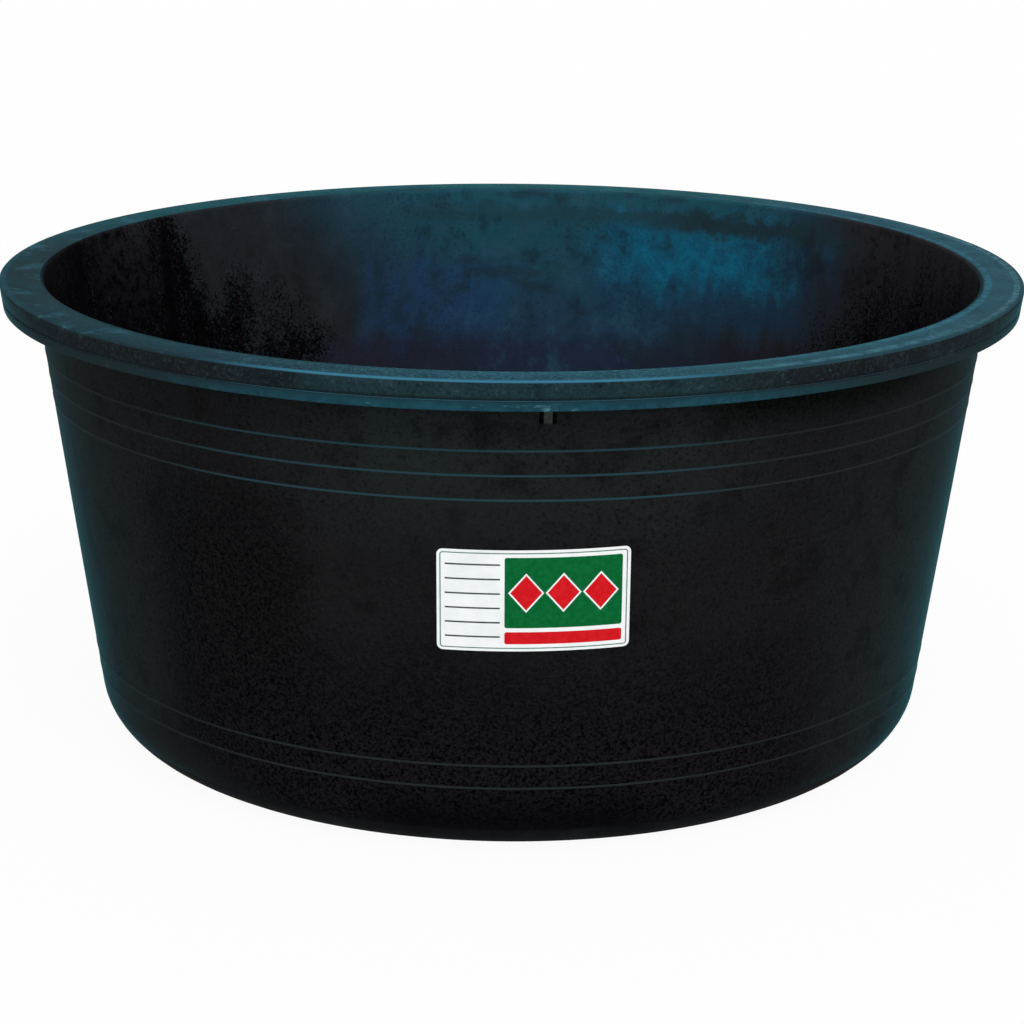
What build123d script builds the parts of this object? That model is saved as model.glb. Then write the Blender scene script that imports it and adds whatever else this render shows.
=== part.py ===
from build123d import *
import os
from math import cos, hypot, radians, sin, tan

# Round tub: one thick polyethylene moulding with a heavy flat rim and a beaded wall,
# and a printed label stuck on its front. Millimetres. +Z is up, the origin is under the
# middle of the foot, on the ground, and the label faces -Y.

# Moulding: overall form
mouth_diameter = 559.0  # inside the wall, level with the rim's top face
tub_height = 281.0
wall_thickness = 6.0
wall_taper = 7.6  # lean of the wall away from upright, in degrees
floor_thickness = 7.0
corner_radius = 36.0  # outside of the turn from the floor into the wall
foot_ring_width = 20.0  # flat ring that stands on the ground
foot_recess = 3.0  # how far the floor inside that ring is raised
foot_edge_radius = 1.2

# Moulding: rim
rim_width = 25.8  # from the mouth to the rim's outer edge
rim_height = 15.8
mouth_edge_radius = 2.5
rim_edge_radius = 1.6
lip_edge_radius = 0.8
under_rim_radius = 2.0
groove_drop = 9.6  # from the rim's top face to the middle of the parting groove
groove_width = 1.1
groove_depth = 0.4

# Moulding: beads round the wall
bead_width = 2.2
bead_rise = 0.2  # how far a bead stands out of the wall
bead_pitch = 13.6
upper_bead_count = 3
upper_bead_drop = 27.0  # from the underside of the rim to the highest bead
lower_bead_count = 2
lower_bead_rise = 12.0  # from the top of the floor's turn to the lowest bead

# Moulding: lug between two slots under the rim
lug_angle = 3.86  # round from the front towards +X, in degrees
lug_width = 4.4
lug_length = 11.0
lug_rise = 1.4
lug_root = 2.0  # how far the lug runs up into the rim
slot_width = 2.0
slot_length = 9.0
slot_depth = 3.2
slot_spacing = 7.0
slot_clearance = 0.8  # from the fillet under the rim to the slots

# Label: blank and layers
label_width = 101.6
label_height = 58.4
label_corner_radius = 3.2
label_angle = 2.75  # round from the front towards +X, in degrees
label_tilt = 0.5
label_rise = 20.7  # above the middle of the plain wall between the beads
adhesive_thickness = 0.06
film_thickness = 0.2
ink_thickness = 0.05

# Label: printed design
keyline_inset = 1.5
keyline_width = 0.6
print_margin = 4.2
print_gap = 2.4
panel_width = 62.0
panel_corner_radius = 1.2
band_height = 7.0
lozenge_count = 3
lozenge_gap = 3.0
lozenge_height = 20.0
lozenge_outline = 0.9
ruling_count = 6
ruling_width = 0.9

# Heights, radii and places that follow from the sizes above
lean = radians(wall_taper)
floor_top = foot_recess + floor_thickness
rim_bottom = tub_height - rim_height
rim_radius = mouth_diameter / 2 + rim_width


def inner_wall(height):
    """Radius of the wall's inner face at a height."""
    return mouth_diameter / 2 - (tub_height - height) * tan(lean)


def outer_wall(height):
    """Radius of the wall's outer face at a height."""
    return inner_wall(height) + wall_thickness / cos(lean)


def rim_face(height):
    """Radius of the rim's outer face at a height. It leans as the wall does."""
    return rim_radius - (tub_height - height) * tan(lean)


def wall_plane(angle, height):
    """Plane that touches the outer wall, with its X level and its Y up the wall."""
    turn = radians(angle)
    outwards = Vector(sin(turn), -cos(turn), 0)
    origin = outwards * outer_wall(height) + Vector(0, 0, height)
    normal = outwards * cos(lean) - Vector(0, 0, sin(lean))
    return Plane(origin=origin, x_dir=(cos(turn), sin(turn), 0), z_dir=normal)


corner_top = corner_radius * (1 - sin(lean))
corner_start = outer_wall(0) - corner_radius * tan((radians(90) - lean) / 2)
foot_ring_radius = corner_start - foot_ring_width
groove_height = tub_height - groove_drop
lower_beads = [corner_top + lower_bead_rise + bead_pitch * i for i in range(lower_bead_count)]
upper_beads = [rim_bottom - upper_bead_drop - bead_pitch * i for i in reversed(range(upper_bead_count))]


def bead_points(height):
    """Where a low bead at a height leaves the wall, stands out most, and meets the wall again."""
    middle = Vector(outer_wall(height), height)
    along = Vector(sin(lean), cos(lean)) * bead_width / 2
    outwards = Vector(cos(lean), -sin(lean)) * bead_rise
    return middle - along, middle + outwards, middle + along


# The moulding: floor, wall, beads and rim are one turned section
with BuildPart() as tub_shell:
    with BuildSketch(Plane.XZ):
        with BuildLine():
            foot = Line((0, 0), (corner_start, 0))
            corner = JernArc(foot @ 1, (1, 0), corner_radius, 90 - wall_taper)
            wall_end = corner @ 1
            for height in lower_beads + upper_beads:
                low, tip, high = bead_points(height)
                Line(wall_end, low)
                ThreePointArc(low, tip, high)
                wall_end = high
            rim_and_inside = FilletPolyline(
                wall_end,
                (outer_wall(rim_bottom), rim_bottom),
                (rim_face(rim_bottom), rim_bottom),
                (rim_radius, tub_height),
                (mouth_diameter / 2, tub_height),
                (inner_wall(floor_top), floor_top),
                (0, floor_top),
                radius=[
                    under_rim_radius,
                    lip_edge_radius,
                    rim_edge_radius,
                    mouth_edge_radius,
                    corner_radius - wall_thickness,
                ],
            )
            Line(rim_and_inside @ 1, foot @ 0)
        make_face()
    revolve(axis=Axis.Z)

    # The floor is raised inside the foot ring
    with BuildSketch(Plane.XY):
        Circle(foot_ring_radius)
    extrude(amount=foot_recess, mode=Mode.SUBTRACT)
    fillet(tub_shell.edges(Select.LAST).filter_by(GeomType.CIRCLE), foot_edge_radius)

    # The parting groove runs round the rim's outer face
    with BuildSketch(Plane.XZ):
        with Locations((rim_face(groove_height), groove_height)):
            Rectangle(2 * groove_depth, groove_width)
    revolve(axis=Axis.Z, mode=Mode.SUBTRACT)

    # The lug hangs from the rim, flat against the wall
    with BuildSketch(wall_plane(lug_angle, rim_bottom)):
        with Locations((0, lug_root)):
            Rectangle(lug_width, lug_length + lug_root, align=(Align.CENTER, Align.MAX))
    extrude(amount=lug_rise, both=True)

    # A blind slot stands on each side of the lug
    with BuildSketch(wall_plane(lug_angle, rim_bottom)):
        with Locations((0, -under_rim_radius - slot_clearance - slot_length / 2)):
            with GridLocations(slot_spacing, slot_length, 2, 1):
                Rectangle(slot_width, slot_length)
    extrude(amount=slot_depth, both=True, mode=Mode.SUBTRACT)

tub_shell.part.label = "tub_shell"

# The label's place on the wall, and the section that each of its layers is cut from
label_height_up = (upper_beads[0] + lower_beads[-1]) / 2 + label_rise
label_plane = wall_plane(label_angle, label_height_up).rotated((0, 0, label_tilt))
label_reach = outer_wall(label_height_up) / 2  # how deep the label's outline is cut through the wall
film_start = adhesive_thickness
ink_start = film_start + film_thickness


def layer_section(start, thickness):
    """Section of a thin layer that follows the wall, start being how far off the wall it begins."""
    low = label_height_up - label_height / 2 - print_margin
    high = label_height_up + label_height / 2 + print_margin
    near = start / cos(lean)
    far = (start + thickness) / cos(lean)
    with BuildSketch(Plane.XZ) as section:
        with BuildLine():
            Polyline(
                (outer_wall(low) + near, low),
                (outer_wall(low) + far, low),
                (outer_wall(high) + far, high),
                (outer_wall(high) + near, high),
                close=True,
            )
        make_face()
    return section.sketch


# Adhesive: a thin even coat on the back of the film
with BuildPart() as label_adhesive:
    revolve(layer_section(0, adhesive_thickness), axis=Axis.Z)
    with BuildSketch(label_plane):
        RectangleRounded(label_width, label_height, label_corner_radius)
    extrude(amount=label_reach, both=True, mode=Mode.INTERSECT)

label_adhesive.part.label = "label_adhesive"

# Film: white stock with rounded corners
with BuildPart() as label_film:
    revolve(layer_section(film_start, film_thickness), axis=Axis.Z)
    with BuildSketch(label_plane):
        RectangleRounded(label_width, label_height, label_corner_radius)
    extrude(amount=label_reach, both=True, mode=Mode.INTERSECT)

label_film.part.label = "label_film"

# Keyline: a thin printed frame just inside the label's edge
keyline_length = label_width - 2 * keyline_inset
keyline_height = label_height - 2 * keyline_inset
keyline_corner_radius = label_corner_radius - keyline_inset

with BuildPart() as label_keyline:
    revolve(layer_section(ink_start, ink_thickness), axis=Axis.Z)
    with BuildSketch(label_plane):
        RectangleRounded(keyline_length, keyline_height, keyline_corner_radius)
        RectangleRounded(
            keyline_length - 2 * keyline_width,
            keyline_height - 2 * keyline_width,
            keyline_corner_radius - keyline_width,
            mode=Mode.SUBTRACT,
        )
    extrude(amount=label_reach, both=True, mode=Mode.INTERSECT)

label_keyline.part.label = "label_keyline"

# Layout of the print: a panel over a band on the right, ruled lines on the left
panel_height = label_height - 2 * print_margin - print_gap - band_height
panel_x = label_width / 2 - print_margin - panel_width / 2
panel_y = label_height / 2 - print_margin - panel_height / 2
band_y = -label_height / 2 + print_margin + band_height / 2
lozenge_width = (panel_width - (lozenge_count + 1) * lozenge_gap) / lozenge_count
ruling_length = label_width - 2 * print_margin - panel_width - print_gap
ruling_x = -label_width / 2 + print_margin + ruling_length / 2
ruling_pitch = (label_height - 2 * print_margin) / ruling_count


def lozenge_row(grow, mode=Mode.ADD):
    """Draws the row of lozenges on the panel, with their sides moved outwards by grow."""
    half_width = lozenge_width / 2
    half_height = lozenge_height / 2
    side = hypot(half_width, half_height)
    across = half_width + grow * side / half_height
    up = half_height + grow * side / half_width
    with Locations((panel_x, panel_y)):
        with GridLocations(lozenge_width + lozenge_gap, lozenge_height, lozenge_count, 1):
            Polygon((-across, 0), (0, -up), (across, 0), (0, up), mode=mode)


# Green ink: the panel, open round the lozenges
with BuildPart() as label_green_print:
    revolve(layer_section(ink_start, ink_thickness), axis=Axis.Z)
    with BuildSketch(label_plane):
        with Locations((panel_x, panel_y)):
            RectangleRounded(panel_width, panel_height, panel_corner_radius)
        lozenge_row(lozenge_outline, mode=Mode.SUBTRACT)
    extrude(amount=label_reach, both=True, mode=Mode.INTERSECT)

label_green_print.part.label = "label_green_print"

# Red ink: the lozenges and the band
with BuildPart() as label_red_print:
    revolve(layer_section(ink_start, ink_thickness), axis=Axis.Z)
    with BuildSketch(label_plane):
        lozenge_row(0)
        with Locations((panel_x, band_y)):
            RectangleRounded(panel_width, band_height, panel_corner_radius)
    extrude(amount=label_reach, both=True, mode=Mode.INTERSECT)

label_red_print.part.label = "label_red_print"

# Dark ink: the ruled lines
with BuildPart() as label_ruling:
    revolve(layer_section(ink_start, ink_thickness), axis=Axis.Z)
    with BuildSketch(label_plane):
        with Locations((ruling_x, 0)):
            with GridLocations(ruling_length, ruling_pitch, 1, ruling_count):
                Rectangle(ruling_length, ruling_width)
    extrude(amount=label_reach, both=True, mode=Mode.INTERSECT)

label_ruling.part.label = "label_ruling"

os.makedirs("parts", exist_ok=True)
export_step(tub_shell.part, "parts/tub_shell.step")
export_step(label_adhesive.part, "parts/label_adhesive.step")
export_step(label_film.part, "parts/label_film.step")
export_step(label_keyline.part, "parts/label_keyline.step")
export_step(label_green_print.part, "parts/label_green_print.step")
export_step(label_red_print.part, "parts/label_red_print.step")
export_step(label_ruling.part, "parts/label_ruling.step")
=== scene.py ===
import math

import bmesh
import bpy
from mathutils import Matrix, Vector


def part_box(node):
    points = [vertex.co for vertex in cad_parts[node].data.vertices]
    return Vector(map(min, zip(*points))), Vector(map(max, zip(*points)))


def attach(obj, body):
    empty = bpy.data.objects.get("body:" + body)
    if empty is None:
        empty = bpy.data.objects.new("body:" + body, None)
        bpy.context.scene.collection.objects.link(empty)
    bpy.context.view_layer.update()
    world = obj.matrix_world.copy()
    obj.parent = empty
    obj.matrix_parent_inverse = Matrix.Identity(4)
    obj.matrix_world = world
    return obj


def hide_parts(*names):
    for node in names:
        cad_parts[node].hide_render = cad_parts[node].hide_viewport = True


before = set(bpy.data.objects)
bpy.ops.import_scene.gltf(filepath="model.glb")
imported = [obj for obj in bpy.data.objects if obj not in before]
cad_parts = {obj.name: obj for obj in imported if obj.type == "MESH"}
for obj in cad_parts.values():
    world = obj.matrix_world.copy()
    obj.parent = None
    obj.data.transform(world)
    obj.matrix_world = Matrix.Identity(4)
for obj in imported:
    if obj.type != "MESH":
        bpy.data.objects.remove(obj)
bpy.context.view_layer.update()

# Tub shell. The real one is a single heavy body of black polyethylene, with floor, beaded wall and rim
# pressed in one mould. Its section is drawn once, from the middle of the foot up the outside, over the
# rim and down the inside, and spun round the tub's axis.
tub_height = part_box("tub_shell")[1].z
mouth_radius = 0.2795
wall_thickness = 0.006
lean = math.radians(7.6)
floor_thickness = 0.007
corner_rounding = 0.036
foot_ring_width = 0.02
foot_recess = 0.003
foot_edge_rounding = 0.0012
rim_width = 0.0258
rim_height = 0.0158
mouth_rounding = 0.0025
rim_edge_rounding = 0.0016
lip_rounding = 0.0008
under_rim_rounding = 0.002
groove_drop = 0.0096
groove_width = 0.0011
groove_depth = 0.0004
groove_rounding = 0.00015
bead_width = 0.0022
bead_crest = 0.0009
bead_rise = 0.0002
bead_rounding = 0.0008
bead_pitch = 0.0136
upper_bead_drop = 0.027
lower_bead_rise = 0.012
rounding_step = 0.004
least_rounding_steps = 3
longest_edge = 0.03
spin_steps = 240
weld_distance = 1e-6

rim_radius = mouth_radius + rim_width
rim_bottom = tub_height - rim_height
floor_top = foot_recess + floor_thickness
groove_height = tub_height - groove_drop


def inner_wall(height):
    """Radius of the wall's inner face at a height."""
    return mouth_radius - (tub_height - height) * math.tan(lean)


def outer_wall(height):
    """Radius of the wall's outer face at a height."""
    return inner_wall(height) + wall_thickness / math.cos(lean)


def rim_face(height):
    """Radius of the rim's outer face at a height."""
    return rim_radius - (tub_height - height) * math.tan(lean)


def bead(height):
    """Corners of a low bead on the wall, each with its rounding."""
    middle = Vector((outer_wall(height), height))
    up = Vector((math.sin(lean), math.cos(lean)))
    out = Vector((math.cos(lean), -math.sin(lean))) * bead_rise
    return [
        (*(middle - up * bead_width / 2), bead_rounding),
        (*(middle - up * bead_crest / 2 + out), bead_rounding),
        (*(middle + up * bead_crest / 2 + out), bead_rounding),
        (*(middle + up * bead_width / 2), bead_rounding),
    ]


def groove(height):
    """Corners of the parting groove in the rim's outer face, each with its rounding."""
    low = height - groove_width / 2
    high = height + groove_width / 2
    return [
        (rim_face(low), low, groove_rounding),
        (rim_face(low) - groove_depth, low, groove_rounding),
        (rim_face(high) - groove_depth, high, groove_rounding),
        (rim_face(high), high, groove_rounding),
    ]


corner_start = outer_wall(0) - corner_rounding * math.tan((math.radians(90) - lean) / 2)
foot_ring_radius = corner_start - foot_ring_width
lowest_bead = corner_rounding * (1 - math.sin(lean)) + lower_bead_rise
highest_bead = rim_bottom - upper_bead_drop
lower_beads = [lowest_bead, lowest_bead + bead_pitch]
upper_beads = [highest_bead - 2 * bead_pitch, highest_bead - bead_pitch, highest_bead]

section = [
    (0, foot_recess, 0),
    (foot_ring_radius, foot_recess, foot_edge_rounding),
    (foot_ring_radius, 0, foot_edge_rounding),
    (outer_wall(0), 0, corner_rounding),
]
for height in lower_beads + upper_beads:
    section += bead(height)
section += [
    (outer_wall(rim_bottom), rim_bottom, under_rim_rounding),
    (rim_face(rim_bottom), rim_bottom, lip_rounding),
    *groove(groove_height),
    (rim_radius, tub_height, rim_edge_rounding),
    (mouth_radius, tub_height, mouth_rounding),
    (inner_wall(floor_top), floor_top, corner_rounding - wall_thickness),
    (0, floor_top, 0),
]

shell = bmesh.new()
corners = [shell.verts.new((radius, 0, height)) for radius, height, rounding in section]
shell.faces.new(corners)
for corner, (radius, height, rounding) in zip(corners, section):
    if rounding:
        one_way, other_way = [edge.other_vert(corner).co - corner.co for edge in corner.link_edges]
        turn = math.pi - one_way.angle(other_way)
        bmesh.ops.bevel(
            shell,
            geom=[corner],
            offset=rounding * math.tan(turn / 2),
            segments=max(least_rounding_steps, round(rounding * turn / rounding_step)),
            profile=0.5,
            affect="VERTICES",
            material=-1,
        )
bmesh.ops.delete(shell, geom=shell.faces[:], context="FACES_ONLY")
on_axis = [edge for edge in shell.edges if all(vert.co.x < rounding_step for vert in edge.verts)]
bmesh.ops.delete(shell, geom=on_axis, context="EDGES")
for edge in [edge for edge in shell.edges if edge.calc_length() > longest_edge]:
    bmesh.ops.subdivide_edges(shell, edges=[edge], cuts=int(edge.calc_length() / longest_edge))
bmesh.ops.spin(
    shell,
    geom=shell.verts[:] + shell.edges[:],
    axis=(0, 0, 1),
    angle=2 * math.pi,
    steps=spin_steps,
    use_merge=True,
)
bmesh.ops.remove_doubles(shell, verts=shell.verts[:], dist=weld_distance)
bmesh.ops.recalc_face_normals(shell, faces=shell.faces[:])

# The moulding leaves its mould a little out of true: the rim draws in to a slight oval, and the wall
# ripples by a fraction of a millimetre, as thick polyethylene does while it cools.
oval_draw = 0.0002
oval_turn = 0.8
ripple_draw = 0.00015
long_ripples = 3
long_ripple_twist = -6
short_ripples = 5
short_ripple_twist = 4
rim_dip = 0.0003
rim_dips = 3
rim_dip_turn = 0.5
rim_dip_fade = 4
full_draw_radius = 0.2


def cooled(point):
    """Where a point of the moulding, or of the label on it, ends up once the tub has cooled."""
    turn = math.atan2(point.y, point.x)
    share = point.z / tub_height
    oval = oval_draw * share * (1 + math.cos(2 * turn + oval_turn)) / 2
    short = math.sin(short_ripples * turn + short_ripple_twist * share)
    long = math.cos(long_ripples * turn + long_ripple_twist * share)
    ripple = ripple_draw * (1 + short * long) / 2
    dip = rim_dip * share**rim_dip_fade * (1 + math.sin(rim_dips * turn + rim_dip_turn)) / 2
    across = math.hypot(point.x, point.y)
    draw = (oval + ripple) * min(1, across / full_draw_radius)
    inwards = 1 - draw / max(across, rounding_step)
    return Vector((point.x * inwards, point.y * inwards, point.z - dip))


for vert in shell.verts:
    vert.co = cooled(vert.co)

sharp_edge = math.radians(40)


def make_piece(name, bm):
    """Turns a finished bmesh into an object, smooth except along its sharp edges."""
    mesh = bpy.data.meshes.new(name)
    bm.to_mesh(mesh)
    bm.free()
    mesh.shade_smooth()
    mesh.set_sharp_from_angle(angle=sharp_edge)
    piece = bpy.data.objects.new(name, mesh)
    bpy.context.collection.objects.link(piece)
    return piece


tub = make_piece("tub_moulding", shell)

# Lug. A small rib hangs from the rim at the front, flat against the wall, with a blind slot on each
# side of it. It is moulded with the shell, so the rib is joined to it and the slots are cut from it.
lug_angle = math.radians(3.86)
lug_width = 0.0044
lug_length = 0.011
lug_rise = 0.0014
lug_root = 0.002
lug_rounding = 0.0004
slot_width = 0.002
slot_length = 0.009
slot_depth = 0.0032
slot_spacing = 0.007
slot_clearance = 0.0008
slot_rounding = 0.0005


def wall_frame(angle, height):
    """Frame on the outer wall, with X level, Y up the wall and Z straight out of it."""
    level = Vector((math.cos(angle), math.sin(angle), 0))
    facing = Vector((math.sin(angle), -math.cos(angle), 0))
    out = facing * math.cos(lean) - Vector((0, 0, math.sin(lean)))
    place = Matrix((level, out.cross(level), out)).transposed().to_4x4()
    place.translation = facing * outer_wall(height) + Vector((0, 0, height))
    return place


def add_block(bm, place, middle, size, rounding):
    """Adds a block with rounded edges, its middle and size given in the frame of its place."""
    lie = place @ Matrix.Translation(middle) @ Matrix.Diagonal((*size, 1))
    verts = bmesh.ops.create_cube(bm, size=1, matrix=lie)["verts"]
    edges = list({edge for vert in verts for edge in vert.link_edges})
    bmesh.ops.bevel(
        bm,
        geom=edges,
        offset=rounding,
        segments=least_rounding_steps,
        profile=0.5,
        affect="EDGES",
        material=-1,
    )


lug_place = wall_frame(lug_angle, rim_bottom)
lug_block = bmesh.new()
add_block(
    lug_block,
    lug_place,
    (0, (lug_root - lug_length) / 2, 0),
    (lug_width, lug_length + lug_root, 2 * lug_rise),
    lug_rounding,
)
slot_blocks = bmesh.new()
slot_top = -under_rim_rounding - slot_clearance
for side in (-1, 1):
    add_block(
        slot_blocks,
        lug_place,
        (side * slot_spacing / 2, slot_top - slot_length / 2, 0),
        (slot_width, slot_length, 2 * slot_depth),
        slot_rounding,
    )
lug = make_piece("lug_block", lug_block)
slots = make_piece("slot_blocks", slot_blocks)
for cutter, operation in ((lug, "UNION"), (slots, "DIFFERENCE")):
    joint = tub.modifiers.new(operation.lower(), "BOOLEAN")
    joint.object = cutter
    joint.operation = operation
    joint.solver = "MANIFOLD"
moulded = bpy.data.meshes.new_from_object(tub.evaluated_get(bpy.context.evaluated_depsgraph_get()))
moulded.set_sharp_from_angle(angle=sharp_edge)
tub.modifiers.clear()
tub.data = moulded
bpy.data.objects.remove(lug)
bpy.data.objects.remove(slots)

# Moulded black polyethylene: dull and nearly black face on, with blue-green on the rim and in a film
# inside.
# The blue-green is partly a chalky, speckled bloom of waxy additive, and partly painted light: painted
# reflection and highlights on the rim, painted shadow at the film's ends. It has next to no gloss.


def srgb(code):
    """Linear RGBA of an sRGB hex colour."""
    levels = [int(code[i : i + 2], 16) / 255 for i in (1, 3, 5)]
    return (*[v / 12.92 if v <= 0.04045 else ((v + 0.055) / 1.055) ** 2.4 for v in levels], 1)


def add_node(tree, kind, inputs, output=0, **settings):
    """Adds a node and gives one of its outputs. Inputs are values or sockets, settings its options."""
    node = tree.nodes.new("ShaderNode" + kind)
    for name, value in settings.items():
        setattr(node, name, value)
    for name, value in inputs.items():
        if isinstance(value, bpy.types.NodeSocket):
            tree.links.new(value, node.inputs[name])
        else:
            node.inputs[name].default_value = value
    return node.outputs[output]


# Every place on the tub is told by its height, by how far right or back it lies, and by its reach,
# the distance from the axis less the wall's flare.
plastic = bpy.data.materials.new("moulded_black_polyethylene")
plastic.use_nodes = True
tree = plastic.node_tree
place = add_node(tree, "TexCoord", {}, "Object")
height = add_node(tree, "SeparateXYZ", {0: place}, "Z")
spoke = add_node(tree, "VectorMath", {0: place, 1: (1, 1, 0)}, operation="MULTIPLY")
across = add_node(tree, "VectorMath", {0: spoke}, "Value", operation="LENGTH")
around = add_node(tree, "VectorMath", {0: spoke}, operation="NORMALIZE")
rightwards = add_node(tree, "SeparateXYZ", {0: around}, "X")
backwards = add_node(tree, "SeparateXYZ", {0: around}, "Y")
normal = add_node(tree, "NewGeometry", {}, "Normal")
upwards = add_node(tree, "SeparateXYZ", {0: normal}, "Z")
reach = add_node(tree, "Math", {0: height, 1: -math.tan(lean), 2: across}, operation="MULTIPLY_ADD")
girth = add_node(tree, "VectorMath", {0: around, "Scale": mouth_radius}, operation="SCALE")
level = add_node(tree, "CombineXYZ", {"Z": height})
unrolled = add_node(tree, "VectorMath", {0: girth, 1: level}, operation="ADD")

# Patterns, each by its size across and up in metres. Pits finer than a millimetre would not show, so
# they are drawn coarser.
patterns = {}
for name, space, wide, high, detail, roughness in (
    ("mottle", place, 0.09, 0.09, 4, 0.55),
    ("blotch", place, 0.026, 0.026, 5, 0.65),
    ("speckle", place, 0.007, 0.007, 6, 0.75),
    ("pits", place, 0.002, 0.002, 3, 0.85),
    ("peel", place, 0.012, 0.012, 2, 0.5),
    ("streaks", unrolled, 0.014, 0.12, 4, 0.55),
    ("smears", unrolled, 0.018, 0.022, 6, 0.7),
    ("ragged", unrolled, 0.05, 0.09, 6, 0.65),
    ("clouds", unrolled, 0.07, 0.03, 6, 0.6),
    ("scuffs", unrolled, 0.01, 0.003, 5, 0.7),
):
    fitted = add_node(tree, "Mapping", {"Vector": space, "Scale": (1 / wide, 1 / wide, 1 / high)})
    patterns[name] = add_node(
        tree, "TexNoise", {"Vector": fitted, "Scale": 1, "Detail": detail, "Roughness": roughness}, "Fac"
    )

# The film's bright and blue patches waver from side to side and run down in drips, and the dark line
# near its top is uneven. A pattern moves each of them, at most by the number in its row.
moved = {}
for name, pattern, most, value in (
    ("wavering", "ragged", 0.3, rightwards),
    ("drip", "streaks", 0.06, height),
    ("uneven", "smears", 0.036, height),
):
    moved[name] = add_node(
        tree, "Math", {0: patterns[pattern], 1: most, 2: value}, operation="MULTIPLY_ADD"
    )

# How far a place is from the groove, from the mouth's edge and from the middles of a few patches
distances = {}
for name, value, middle in (
    ("groove", height, groove_height),
    ("mouth_edge", across, mouth_radius + 0.0045),
    ("inner_line", across, rim_radius - 0.0085),
    ("outer_line", across, rim_radius - 0.0047),
    ("lug", rightwards, math.sin(lug_angle)),
    ("middle", rightwards, 0),
    ("front", rightwards, math.sin(math.radians(-3.5))),
    ("bead_front", rightwards, math.sin(math.radians(-6))),
    ("left_front", rightwards, math.sin(math.radians(-35))),
    ("right_front", rightwards, math.sin(math.radians(36))),
    ("left_streak", rightwards, math.sin(math.radians(-64))),
    ("scuffs", rightwards, math.sin(math.radians(-17))),
    ("bright_across", moved["wavering"], 0.61),
    ("bright_height", moved["drip"], 0.272),
    ("blue_height", moved["drip"], 0.256),
    ("film_line", moved["uneven"], 0.283),
    ("left_blue_across", moved["wavering"], -0.05),
    ("left_blue_height", moved["drip"], 0.235),
):
    away = add_node(tree, "Math", {0: value, 1: middle}, operation="SUBTRACT")
    distances[name] = add_node(tree, "Math", {0: away}, operation="ABSOLUTE")

# The film's two ends lean, and are torn by a coarse and a fine pattern, as is the right end of its
# middle.
# The two ends are painted shadow edges: beyond them the inner wall is left nearly black, as painted
# shade.
leaning = {}
torn = {}
for name, slope, coarse, fine in (
    ("left", 2.35, 0.6, 0.5),
    ("right", -2.9, 0.3, 1),
    ("middle", -3, 0.2, 0.1),
):
    end = add_node(tree, "Math", {0: height, 1: slope, 2: rightwards}, operation="MULTIPLY_ADD")
    leaning[name] = end
    end = add_node(tree, "Math", {0: patterns["ragged"], 1: coarse, 2: end}, operation="MULTIPLY_ADD")
    torn[name] = add_node(tree, "Math", {0: patterns["pits"], 1: fine, 2: end}, operation="MULTIPLY_ADD")

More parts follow.
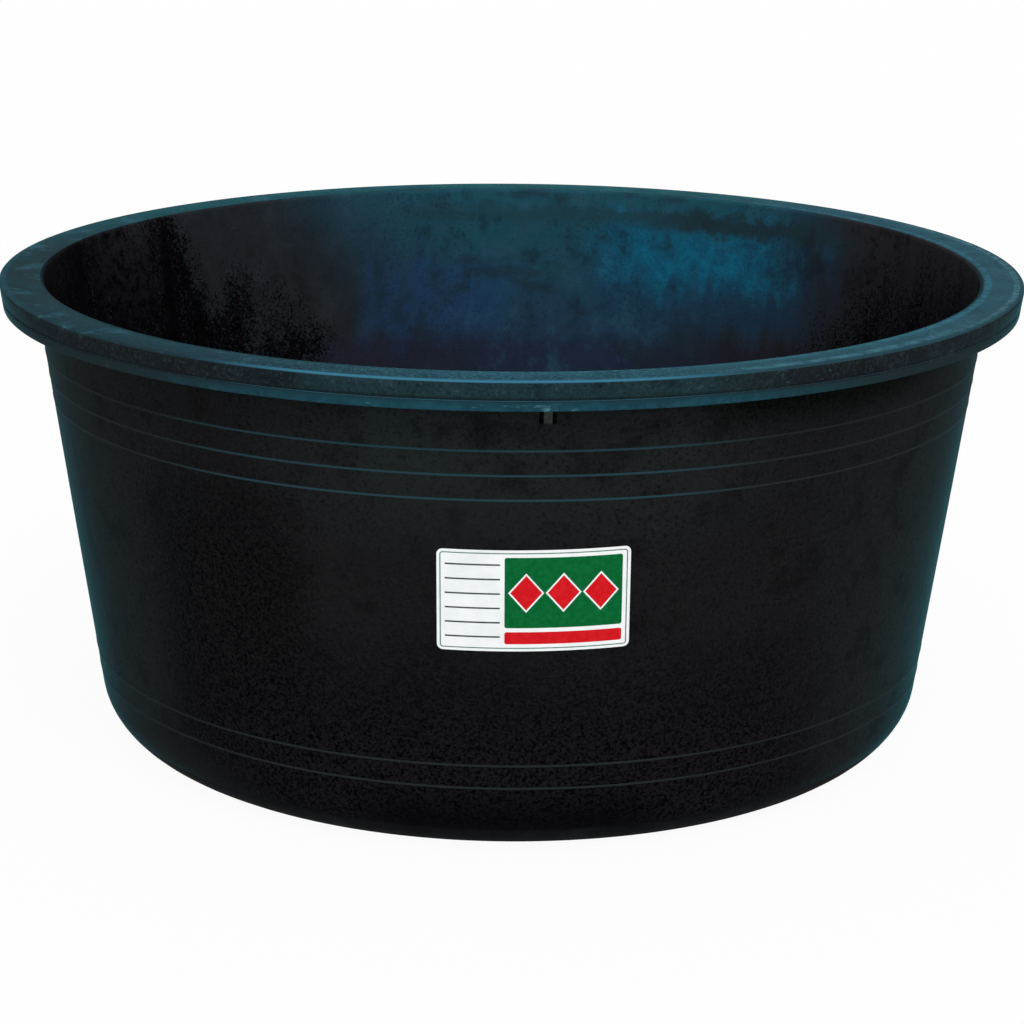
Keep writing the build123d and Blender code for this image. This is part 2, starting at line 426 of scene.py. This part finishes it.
# Shares from 0 to a most, each growing smoothly while a value goes from a start to an end
inner_reach = inner_wall(0)
shares = {}
for name, value, start, end, most in (
    ("inside", reach, inner_reach + 0.003, inner_reach + 0.001, 1),
    ("outside", reach, inner_reach + 0.001, inner_reach + 0.003, 1),
    ("on_rim", height, rim_bottom - 0.0008, rim_bottom + 0.0002, 1),
    ("flat", upwards, 0.6, 0.9, 1),
    ("past_mouth", across, mouth_radius + 0.001, mouth_radius + 0.003, 1),
    ("mouth_left", across, mouth_radius + 0.0055, mouth_radius + 0.0025, 1),
    ("edge_round", upwards, 0.55, 0.92, 1),
    ("outer_edge", across, rim_radius - 0.0058, rim_radius - 0.003, 1),
    ("mouth_edge", distances["mouth_edge"], 0.0028, 0.001, 1),
    ("inner_line", distances["inner_line"], 0.004, 0.0015, 1),
    ("outer_line", distances["outer_line"], 0.0025, 0.001, 1),
    ("lip", height, groove_height, groove_height - 0.0026, 1),
    ("lip_bottom", height, rim_bottom + 0.005, rim_bottom + 0.001, 1),
    ("groove", distances["groove"], 0.0014, 0.0005, 0.6),
    ("front", backwards, 0.2, -0.4, 1),
    ("fore", backwards, 0.75, 0, 1),
    ("band_front", distances["middle"], 0.52, 0.24, 1),
    ("lip_front", distances["middle"], 0.7, 0.3, 1),
    ("edge_front", distances["front"], 0.52, 0.25, 1),
    ("left", rightwards, -0.15, -0.65, 1),
    ("right_end", rightwards, 0.76, 0.9, 1),
    ("sides", distances["middle"], 0.5, 0.8, 0.35),
    ("foot_edge", height, 0.05, 0.022, 0.7),
    ("foot_front", distances["middle"], 0.42, 0.22, 1),
    ("foot_left", rightwards, -0.5, -0.72, 1),
    ("low_right", height, 0.24, 0.05, 0.35),
    ("right", rightwards, 0.2, 0.8, 1),
    ("far_end", rightwards, 0.7, 0.95, 1),
    ("back", backwards, 0.1, 0.5, 0.7),
    ("back_left", rightwards, 0, -0.4, 0.6),
    ("left_front", distances["left_front"], 0.5, 0.15, 0.8),
    ("high_wall", height, 0.15, 0.255, 1),
    ("high_front", distances["middle"], 0.65, 0.2, 1),
    ("under_rim", height, 0.254, 0.2645, 0.55),
    ("rim_shade", height, 0.24, 0.262, 0.8),
    ("shade_patch", distances["right_front"], 0.3, 0.12, 1),
    ("low_wall", height, 0.145, 0.04, 1),
    ("front_wall", distances["middle"], 0.75, 0.5, 1),
    ("left_patch", distances["left_front"], 0.22, 0.06, 0.75),
    ("patch_height", height, 0.23, 0.16, 1),
    ("mottled", patterns["mottle"], 0.38, 0.62, 0.4),
    ("dark_grain", patterns["pits"], 0.62, 0.38, 1),
    ("pale_grain", patterns["pits"], 0.38, 0.62, 1),
    ("specked", patterns["pits"], 0.53, 0.68, 1),
    ("faint_pits", patterns["pits"], 0.5, 0.34, 0.55),
    ("faint_specks", patterns["pits"], 0.52, 0.68, 0.4),
    ("grainy", patterns["ragged"], 0.32, 0.58, 1),
    ("dark_blotch", patterns["blotch"], 0.5, 0.34, 0.6),
    ("pale_blotch", patterns["blotch"], 0.52, 0.68, 0.6),
    ("flecked", patterns["speckle"], 0.36, 0.64, 1),
    ("bead_front", distances["bead_front"], 0.62, 0.36, 1),
    ("rib", distances["lug"], 0.0085, 0.0065, 1),
    ("rib_length", height, rim_bottom - 0.0127, rim_bottom - 0.0097, 1),
    ("streaked", patterns["streaks"], 0.4, 0.66, 0.9),
    ("streak_zone", distances["left_streak"], 0.075, 0.03, 1),
    ("streak_height", height, 0.2, 0.27, 1),
    ("film_left_shadow_edge", torn["left"], 0.34, 0.45, 1),
    ("film_right_shadow_edge", torn["right"], 0.93, 0.83, 1),
    ("film_back", backwards, -0.3, 0.2, 1),
    ("up_the_wall", height, 0.04, 0.09, 1),
    ("floor", height, 0.07, 0.02, 1),
    ("far_right", rightwards, 0.55, 0.85, 1),
    ("middle_left", leaning["left"], 0, 0.55, 1),
    ("middle_right", torn["middle"], 0.22, -0.1, 1),
    ("middle_end", rightwards, 0.86, 0.58, 1),
    ("film_line", distances["film_line"], 0.01, 0.002, 0.8),
    ("inside_front", backwards, -0.25, -0.7, 1),
    ("high_film", moved["drip"], 0.21, 0.29, 1),
    ("bright_across", distances["bright_across"], 0.31, 0.14, 1),
    ("bright_height", distances["bright_height"], 0.033, 0.01, 1),
    ("blue_across", distances["bright_across"], 0.4, 0.14, 0.7),
    ("blue_height", distances["blue_height"], 0.046, 0.015, 1),
    ("left_blue_across", distances["left_blue_across"], 0.27, 0.08, 0.65),
    ("left_blue_height", distances["left_blue_height"], 0.042, 0.012, 1),
    ("low_film", height, 0.19, 0.168, 0.6),
    ("bright_smears", patterns["smears"], 0.22, 0.6, 1),
    ("dark_clouds", patterns["clouds"], 0.48, 0.34, 0.6),
    ("dark_flecks", patterns["speckle"], 0.47, 0.37, 0.85),
    ("dark_end", rightwards, 0.74, 0.88, 1),
    ("pale_smears", patterns["smears"], 0.5, 0.68, 0.6),
    ("bare_smears", patterns["smears"], 0.5, 0.34, 0.6),
    ("scuffed", patterns["scuffs"], 0.55, 0.67, 0.65),
    ("scuff_patch", patterns["ragged"], 0.45, 0.6, 1),
    ("scuff_front", distances["scuffs"], 0.5, 0.35, 1),
):
    shares[name] = add_node(
        tree,
        "MapRange",
        {"Value": value, "From Min": start, "From Max": end, "To Max": most},
        interpolation_type="SMOOTHSTEP",
    )

# Painted highlight: a thin light line on each bead, a little above its middle, where its upper side meets
# the light
line_rise = 0.0003
line_end = 0.0008
line_full = 0.0002
for name, heights in (("low_crest", lower_beads), ("high_crest", upper_beads)):
    crest = 0
    for bead_height in heights:
        away = add_node(tree, "Math", {0: height, 1: bead_height + line_rise}, operation="SUBTRACT")
        away = add_node(tree, "Math", {0: away}, operation="ABSOLUTE")
        near = add_node(tree, "MapRange", {"Value": away, "From Min": line_end, "From Max": line_full})
        crest = add_node(tree, "Math", {0: near, 1: crest}, operation="MAXIMUM")
    shares[name] = crest

# Shares that several colours need, each where all of its parts meet
for name, parts in (
    ("low_front", ("outside", "low_wall", "front_wall")),
    ("dark_patch", ("outside", "left_patch", "patch_height")),
    ("inner_side", ("inside", "up_the_wall")),
    ("inner_floor", ("inside", "floor")),
    ("film", ("inner_side", "film_left_shadow_edge", "film_right_shadow_edge", "film_back")),
    ("middle_film", ("film", "middle_left", "middle_right", "middle_end")),
    ("bright", ("film", "bright_across", "bright_height")),
    ("band", ("on_rim", "outside")),
    ("top", ("on_rim", "flat", "past_mouth")),
    ("edge", ("on_rim", "edge_round", "outer_edge")),
):
    both = shares[parts[0]]
    for part in parts[1:]:
        both = add_node(tree, "Math", {0: both, 1: shares[part]}, operation="MULTIPLY")
    shares[name] = both

# Colours from the first one up, each laid over the last where all its shares meet
colour = srgb("#181719")
for code, parts in (
    # Painted light: the wall is lighter high up at the front, making up for the rim's shade
    ("#222828", ("high_wall", "high_front")),
    ("#1e1e1f", ("mottled",)),
    ("#222928", ("outside", "sides")),
    # Painted sheen: blue-green low on the right end of the wall
    ("#1c3335", ("outside", "right_end", "low_right")),
    ("#0d0b0e", ("low_front",)),
    ("#0b0b0d", ("dark_patch",)),
    ("#101011", ("dark_blotch",)),
    ("#111213", ("faint_pits",)),
    ("#0a0a0b", ("faint_pits", "grainy")),
    ("#2a2a2c", ("faint_specks", "flecked")),
    ("#010102", ("dark_grain", "low_front")),
    ("#1b191d", ("pale_grain", "low_front")),
    ("#010102", ("dark_grain", "dark_patch")),
    ("#191819", ("pale_grain", "dark_patch")),
    # Painted shade: the foot's rounding is darker at the front, where it turns under; it is lighter on
    # the left
    ("#070708", ("outside", "foot_edge", "foot_front")),
    ("#1e1e1f", ("outside", "foot_edge", "foot_left")),
    # Painted shade just under the rim, deepest at the right front
    ("#101111", ("outside", "under_rim")),
    ("#0d0f0d", ("outside", "rim_shade", "shade_patch")),
    ("#020302", ("outside", "rim_shade", "shade_patch", "dark_grain")),
    # Painted highlights on the beads, blue-green at the front
    ("#232728", ("outside", "low_crest")),
    ("#262a2c", ("outside", "high_crest")),
    ("#262a2b", ("outside", "low_crest", "bead_front")),
    ("#254248", ("outside", "high_crest", "bead_front")),
    # Painted highlight: the lug's rib is lighter than the wall, as it stands out into the light
    ("#2a2e2c", ("outside", "front", "rib", "rib_length")),
    ("#3f4542", ("outside", "front", "rib", "rib_length", "flecked")),
    # Painted shade: the bare inside is near black, much darker than the outside
    ("#040405", ("inside",)),
    ("#0b0a0d", ("inside", "flecked")),
    ("#181a1c", ("inner_side", "inside_front")),
    ("#22282c", ("inner_side", "inside_front", "pale_smears")),
    ("#353338", ("inner_side", "streaked", "specked")),
    ("#201f22", ("inner_side", "streak_zone", "streak_height", "flecked")),
    ("#151618", ("inner_floor",)),
    ("#0a0a0b", ("inner_floor", "dark_blotch")),
    ("#222528", ("inner_floor", "pale_blotch")),
    ("#2c2d30", ("inner_floor", "faint_specks", "flecked")),
    ("#25292d", ("film",)),
    ("#1e2124", ("film", "bare_smears")),
    ("#2e3439", ("film", "pale_smears")),
    ("#2a292d", ("film", "far_right")),
    ("#253f57", ("middle_film",)),
    ("#204f5e", ("middle_film", "high_film")),
    ("#20435f", ("film", "blue_across", "blue_height")),
    ("#21436a", ("film", "left_blue_across", "left_blue_height", "bright_smears")),
    ("#27263a", ("film", "low_film")),
    ("#1b2d36", ("middle_film", "bare_smears")),
    ("#2d5468", ("middle_film", "pale_smears")),
    ("#155f7c", ("bright", "bright_smears")),
    ("#1d7595", ("bright", "bright_smears", "pale_smears")),
    ("#2f879f", ("bright", "faint_specks", "flecked")),
    ("#23444f", ("middle_film", "film_line")),
    ("#23363d", ("film", "film_line", "shade_patch")),
    ("#222f36", ("middle_film", "dark_clouds")),
    ("#1a191b", ("film", "far_right", "dark_blotch")),
    # Painted shade at the right end of the film
    ("#0f0e10", ("film", "dark_end", "dark_flecks")),
    ("#1b2024", ("film", "faint_pits", "grainy")),
    ("#2c3237", ("film", "faint_specks", "flecked")),
    ("#1c2023", ("band",)),
    # Painted light: the rim's band is blue-green only at the front
    ("#1f3338", ("band", "front", "band_front")),
    ("#14181a", ("band", "dark_blotch")),
    ("#2b3f45", ("band", "pale_blotch", "flecked")),
    ("#0d171a", ("band", "faint_pits")),
    ("#3a5c64", ("band", "faint_specks", "flecked")),
    # The lip is partly a chalkier, lighter face; its blue-green at the front is painted light
    ("#202c2f", ("band", "lip")),
    ("#1a3b45", ("band", "lip", "front", "lip_front")),
    ("#1f4d5b", ("band", "lip", "front", "lip_front", "pale_smears")),
    ("#214b57", ("band", "lip", "lip_bottom", "front", "lip_front", "flecked")),
    # Painted shade in the groove at the front
    ("#182124", ("band", "groove", "band_front")),
    # The rim's top: blue-green, partly bloom and partly painted reflection; darker to the left, lighter
    # to the right
    ("#294d5b", ("top",)),
    ("#1a5353", ("top", "back")),
    ("#1a3b4a", ("top", "back", "back_left")),
    ("#20282b", ("top", "left", "fore")),
    ("#2d4c5a", ("top", "right")),
    ("#203740", ("top", "front", "left_front")),
    ("#1d3640", ("top", "dark_blotch")),
    ("#345b6a", ("top", "pale_blotch")),
    ("#183039", ("top", "faint_pits")),
    ("#426f7d", ("top", "faint_specks", "flecked")),
    # Painted highlight along the front of the rim's outer edge, broken by pits and specks
    ("#132c36", ("top", "front", "edge_front", "faint_pits")),
    ("#4c8697", ("top", "front", "edge_front", "faint_specks")),
    # Painted shade on the mouth's edge at the left front; painted highlights along the mouth on the right
    # and inside the outer edge at the right front
    ("#131d21", ("top", "mouth_left", "front", "left_front")),
    ("#35687b", ("top", "mouth_edge", "right", "flecked")),
    ("#416f7d", ("top", "inner_line", "shade_patch", "front", "flecked")),
    # The outer edge's rounding: painted shade at the left front and at the back, painted highlights on
    # the left, at the far right and at the front
    ("#24414a", ("edge",)),
    ("#1a2a30", ("edge", "left_front")),
    ("#1b323a", ("edge", "back")),
    ("#3f6c78", ("edge", "left", "pale_blotch", "flecked")),
    ("#4b6f7a", ("top", "outer_line", "far_end", "flecked")),
    ("#3a7590", ("edge", "front", "edge_front")),
    ("#5d97a3", ("band", "lip", "lip_bottom", "scuffed", "scuff_patch", "scuff_front")),
):
    share = shares[parts[0]]
    for part in parts[1:]:
        share = add_node(tree, "Math", {0: share, 1: shares[part]}, operation="MULTIPLY")
    colour = add_node(tree, "Mix", {0: share, 6: colour, 7: srgb(code)}, 2, data_type="RGBA")

# Orange peel and pits from the mould, and a roughness that wanders a little with the mottle
peel_depth = 0.00006
pit_depth = 0.00003
least_roughness = 0.55
most_roughness = 0.7
rough = add_node(
    tree,
    "MapRange",
    {"Value": patterns["mottle"], "To Min": least_roughness, "To Max": most_roughness},
)
peel = add_node(tree, "Bump", {"Strength": 1, "Distance": peel_depth, "Height": patterns["peel"]})
dented = add_node(
    tree, "Bump", {"Strength": 1, "Distance": pit_depth, "Height": patterns["pits"], "Normal": peel}
)
surface = tree.nodes["Principled BSDF"]
tree.links.new(colour, surface.inputs["Base Color"])
tree.links.new(rough, surface.inputs["Roughness"])
tree.links.new(dented, surface.inputs["Normal"])
surface.inputs["Specular IOR Level"].default_value = 0.004
surface.inputs["Sheen Weight"].default_value = 0.29
surface.inputs["Sheen Roughness"].default_value = 0.24
surface.inputs["Sheen Tint"].default_value = srgb("#00a3b4")

# The bloom gives the outside a dusty sheen at its edges. Inside and under the foot, where water and the
# ground have rubbed the dust off, the same plastic has none.
foot_rub = 0.012
rubbed = plastic.copy()
rubbed.name = "rubbed_black_polyethylene"
rubbed.node_tree.nodes["Principled BSDF"].inputs["Sheen Weight"].default_value = 0
tub.data.materials.clear()
tub.data.materials.append(plastic)
tub.data.materials.append(rubbed)
for face in tub.data.polygons:
    inwards = face.center.xy.length < inner_wall(face.center.z) + wall_thickness / 2
    in_mouth = inwards and face.center.z < tub_height - mouth_rounding / 2
    face.material_index = int(in_mouth or face.center.z < foot_rub)
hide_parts("tub_shell")
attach(tub, "root")

# Label film and adhesive. The label is white coated film, cut with round corners and held on the plain
# part of the wall by a thin coat of clear adhesive. Each layer is a flat sheet that is laid on the wall.
label_width = 0.1016
label_height = 0.0584
label_rounding = 0.0032
label_angle = math.radians(2.75)
label_tilt = math.radians(0.5)
label_rise = 0.0207
adhesive_thickness = 0.00006
film_thickness = 0.0002
strip_count = 26
settling_rounds = 5
sheet_rounding_steps = 6
cut_closeness = 1e-7

label_middle = (upper_beads[0] + lower_beads[-1]) / 2 + label_rise
label_place = wall_frame(label_angle, label_middle) @ Matrix.Rotation(label_tilt, 4, "Z")


def add_sheet(bm, width, height, x=0, y=0, rounding=0):
    """Adds a flat sheet with round corners, its middle at x and y on the label."""
    lie = Matrix.Translation((x, y, 0)) @ Matrix.Diagonal((width, height, 1, 1))
    corners = bmesh.ops.create_grid(bm, x_segments=1, y_segments=1, size=0.5, matrix=lie)["verts"]
    if rounding:
        bmesh.ops.bevel(
            bm,
            geom=corners,
            offset=rounding,
            segments=sheet_rounding_steps,
            profile=0.5,
            affect="VERTICES",
            material=-1,
        )


def cut_sheets(bm, point, across):
    """Cuts flat sheets along a line through a point, square to a direction."""
    bmesh.ops.bisect_plane(
        bm,
        geom=bm.verts[:] + bm.edges[:] + bm.faces[:],
        dist=cut_closeness,
        plane_co=(*point, 0),
        plane_no=(*across, 0),
    )


def lay_on_wall(bm, stand_off, thickness):
    """Bends flat sheets round the wall at a distance from it, and gives them their thickness."""
    for i in range(1, strip_count):
        cut_sheets(bm, ((i / strip_count - 0.5) * label_width, 0), (1, 0))
    out = label_place.to_3x3() @ Vector((0, 0, 1))
    for vert in bm.verts:
        point = label_place @ vert.co
        for _ in range(settling_rounds):
            gap = math.hypot(point.x, point.y) - outer_wall(point.z) - stand_off / math.cos(lean)
            point -= out * gap * math.cos(lean)
        vert.co = cooled(point)
    bm.normal_update()
    for face in bm.faces:
        if face.normal.dot(out) > 0:
            face.normal_flip()
    bmesh.ops.solidify(bm, geom=bm.faces[:], thickness=thickness)
    bmesh.ops.recalc_face_normals(bm, faces=bm.faces[:])


def stick_on(piece, material, node):
    """Gives a layer of the label its material, and its place in the frame."""
    piece.data.materials.append(material)
    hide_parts(node)
    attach(piece, "root")


adhesive_sheet = bmesh.new()
add_sheet(adhesive_sheet, label_width, label_height, rounding=label_rounding)
lay_on_wall(adhesive_sheet, 0, adhesive_thickness)
film_sheet = bmesh.new()
add_sheet(film_sheet, label_width, label_height, rounding=label_rounding)
lay_on_wall(film_sheet, adhesive_thickness, film_thickness)

patch_start = 0.35
patch_end = 0.7
shine_spread = 0.1
ripple_size = 0.004
ripple_depth = 0.00002
label_gloss = 0.05


def label_finish(name, code, uneven_code, patch_size, roughness):
    """Finish of a layer of the label, whose colour is uneven in patches of a size."""
    finish = bpy.data.materials.new(name)
    finish.use_nodes = True
    tree = finish.node_tree
    place = add_node(tree, "TexCoord", {}, "Object")
    patches = add_node(tree, "TexNoise", {"Vector": place, "Scale": 1 / patch_size, "Detail": 4}, "Fac")
    uneven = add_node(
        tree,
        "MapRange",
        {"Value": patches, "From Min": patch_start, "From Max": patch_end},
        interpolation_type="SMOOTHSTEP",
    )
    colour = add_node(tree, "Mix", {0: uneven, 6: srgb(code), 7: srgb(uneven_code)}, 2, data_type="RGBA")
    shine = add_node(
        tree,
        "MapRange",
        {"Value": patches, "To Min": roughness - shine_spread, "To Max": roughness + shine_spread},
    )
    ripples = add_node(tree, "TexNoise", {"Vector": place, "Scale": 1 / ripple_size, "Detail": 2}, "Fac")
    rippled = add_node(tree, "Bump", {"Strength": 1, "Distance": ripple_depth, "Height": ripples})
    surface = tree.nodes["Principled BSDF"]
    tree.links.new(colour, surface.inputs["Base Color"])
    tree.links.new(shine, surface.inputs["Roughness"])
    tree.links.new(rippled, surface.inputs["Normal"])
    surface.inputs["Specular IOR Level"].default_value = label_gloss
    return finish


# Clear acrylic adhesive, which shows as a thin yellowish line at most, and white coated film: semi-gloss,
# with the ripple of the wall under it, greyed a little in patches by dust
adhesive_patch = 0.005
adhesive_roughness = 0.3
film_patch = 0.012
film_roughness = 0.4
stick_on(
    make_piece("label_adhesive_coat", adhesive_sheet),
    label_finish("clear_acrylic_adhesive", "#cfc9b2", "#b9b292", adhesive_patch, adhesive_roughness),
    "label_adhesive",
)
stick_on(
    make_piece("label_film_sheet", film_sheet),
    label_finish("white_coated_film", "#fbfefe", "#f1f6f6", film_patch, film_roughness),
    "label_film",
)

# Label print. Four inks lie on the film, each a thin printed coat that is a little thinner in places: a
# grey-green keyline, a green panel round three red lozenges over a red band, and dark ruled lines.
keyline_inset = 0.0015
keyline_width = 0.0006
print_margin = 0.0042
print_gap = 0.0024
panel_width = 0.062
panel_rounding = 0.0012
band_height = 0.007
lozenge_count = 3
lozenge_gap = 0.003
lozenge_height = 0.02
lozenge_outline = 0.0009
ruling_count = 6
ruling_width = 0.0009
ink_thickness = 0.00005
ink_start = adhesive_thickness + film_thickness
ink_patch = 0.0025
ink_roughness = 0.38

keyline = bmesh.new()
keyline_rounding = label_rounding - keyline_inset
add_sheet(
    keyline, label_width - 2 * keyline_inset, label_height - 2 * keyline_inset, rounding=keyline_rounding
)
middle = keyline.faces[:]
bmesh.ops.inset_region(
    keyline, faces=middle, thickness=keyline_width, use_boundary=True, use_even_offset=True
)
bmesh.ops.delete(keyline, geom=middle, context="FACES")
lay_on_wall(keyline, ink_start, ink_thickness)
stick_on(
    make_piece("label_keyline_ink", keyline),
    label_finish("printed_grey_green_ink", "#5c7b70", "#6f8d83", ink_patch, ink_roughness),
    "label_keyline",
)

panel_height = label_height - 2 * print_margin - print_gap - band_height
panel_x = label_width / 2 - print_margin - panel_width / 2
panel_y = label_height / 2 - print_margin - panel_height / 2
band_y = -label_height / 2 + print_margin + band_height / 2
lozenge_width = (panel_width - (lozenge_count + 1) * lozenge_gap) / lozenge_count
lozenge_pitch = lozenge_width + lozenge_gap
lozenges = [panel_x + lozenge_pitch * (i - (lozenge_count - 1) / 2) for i in range(lozenge_count)]
slope = Vector((lozenge_height, lozenge_width)).normalized()
lozenge_reach = slope.x * lozenge_width / 2


def lozenge_sides(grow):
    """The four sides of a lozenge, each as its direction outwards and its distance from the middle."""
    return [(Vector((slope.x * a, slope.y * b)), lozenge_reach + grow) for a in (-1, 1) for b in (-1, 1)]


green = bmesh.new()
add_sheet(green, panel_width, panel_height, panel_x, panel_y, panel_rounding)
for x in lozenges:
    for side, distance in lozenge_sides(lozenge_outline):
        cut_sheets(green, Vector((x, panel_y)) + side * distance, side)


def in_lozenge(point):
    """Whether a point of the panel is inside a lozenge or its pale outline."""
    for x in lozenges:
        off = point.xy - Vector((x, panel_y))
        if all(side.dot(off) < distance for side, distance in lozenge_sides(lozenge_outline)):
            return True
    return False


open_faces = [face for face in green.faces if in_lozenge(face.calc_center_median())]
bmesh.ops.delete(green, geom=open_faces, context="FACES")
lay_on_wall(green, ink_start, ink_thickness)
stick_on(
    make_piece("label_green_ink", green),
    label_finish("printed_green_ink", "#005f2d", "#066a37", ink_patch, ink_roughness),
    "label_green_print",
)

red = bmesh.new()
add_sheet(red, panel_width, band_height, panel_x, band_y, panel_rounding)
for x in lozenges:
    lie = Matrix.Translation((x, panel_y, 0)) @ Matrix.Diagonal((lozenge_width, lozenge_height, 1, 1))
    bmesh.ops.create_circle(red, cap_ends=True, radius=0.5, segments=4, matrix=lie)
lay_on_wall(red, ink_start, ink_thickness)
stick_on(
    make_piece("label_red_ink", red),
    label_finish("printed_red_ink", "#d3121c", "#d91e27", ink_patch, ink_roughness),
    "label_red_print",
)

ruling = bmesh.new()
ruling_length = label_width - 2 * print_margin - panel_width - print_gap
ruling_x = -label_width / 2 + print_margin + ruling_length / 2
ruling_pitch = (label_height - 2 * print_margin) / ruling_count
for i in range(ruling_count):
    add_sheet(ruling, ruling_length, ruling_width, ruling_x, ruling_pitch * (i - (ruling_count - 1) / 2))
lay_on_wall(ruling, ink_start, ink_thickness)
stick_on(
    make_piece("label_ruling_ink", ruling),
    label_finish("printed_dark_ink", "#3b4643", "#4c5754", ink_patch, ink_roughness),
    "label_ruling",
)

# Studio. A wide sheet of pale paper under the tub and soft light from all round, with a broad key light
# from above the camera. To the eye the paper and the backdrop are white, and the paper keeps the shadow.
paper_half_width = 40
white_share = 0.95
sky_strength = 0.55
key_energy = 1.6
key_softness = math.radians(35)
key_tip = math.radians(40)
key_swing = math.radians(12)

floor_mesh = bmesh.new()
bmesh.ops.create_grid(floor_mesh, x_segments=1, y_segments=1, size=paper_half_width)
floor = make_piece("studio_floor", floor_mesh)
paper = bpy.data.materials.new("studio_paper")
paper.use_nodes = True
floor.data.materials.append(paper)
sky = bpy.data.worlds.new("studio_sky")
sky.use_nodes = True
bpy.context.scene.world = sky
seen = []
for tree in (paper.node_tree, sky.node_tree):
    straight = 0
    for ray in ("Is Camera Ray", "Is Glossy Ray", "Is Transmission Ray"):
        this_ray = add_node(tree, "LightPath", {}, ray)
        straight = add_node(tree, "Math", {0: this_ray, 1: straight}, operation="MAXIMUM")
    seen.append(straight)
seen_paper, seen_sky = seen

tree = paper.node_tree
paper_surface = tree.nodes["Principled BSDF"]
paper_surface.inputs["Base Color"].default_value = srgb("#f2f2f2")
paper_surface.inputs["Roughness"].default_value = 0.9
whitened = add_node(tree, "Math", {0: seen_paper, 1: white_share}, operation="MULTIPLY")
white = add_node(tree, "Emission", {"Color": (1, 1, 1, 1), "Strength": 1})
mixed = add_node(tree, "MixShader", {0: whitened, 1: paper_surface.outputs[0], 2: white})
tree.links.new(mixed, tree.nodes["Material Output"].inputs["Surface"])

tree = sky.node_tree
backdrop = tree.nodes["Background"]
backdrop.inputs["Color"].default_value = (1, 1, 1, 1)
strength = add_node(tree, "MapRange", {"Value": seen_sky, "To Min": sky_strength, "To Max": 1})
tree.links.new(strength, backdrop.inputs["Strength"])

key = bpy.data.lights.new("key_light", "SUN")
key.energy = key_energy
key.angle = key_softness
key_light = bpy.data.objects.new("key_light", key)
key_light.rotation_euler = (key_tip, 0, key_swing)
bpy.context.collection.objects.link(key_light)

# Camera, at the place and angle that the photograph was taken from. Its focal length is known in
# pixels of the square picture.
picture_width = 1024
focal_length = 2782.61
sensor_width = 36
camera_place = (-0.00007, -1.65524, 0.60081)
camera_turn = -0.0008
camera_dip = 0.27933
camera_roll = 0.0084

lens = bpy.data.cameras.new("camera")
lens.sensor_width = sensor_width
lens.lens = sensor_width * focal_length / picture_width
camera = bpy.data.objects.new("camera", lens)
camera.matrix_world = (
    Matrix.Translation(camera_place)
    @ Matrix.Rotation(camera_turn, 4, "Z")
    @ Matrix.Rotation(math.pi / 2 - camera_dip, 4, "X")
    @ Matrix.Rotation(camera_roll, 4, "Z")
)
bpy.context.collection.objects.link(camera)
bpy.context.scene.camera = camera
bpy.context.scene.view_settings.view_transform = "Standard"
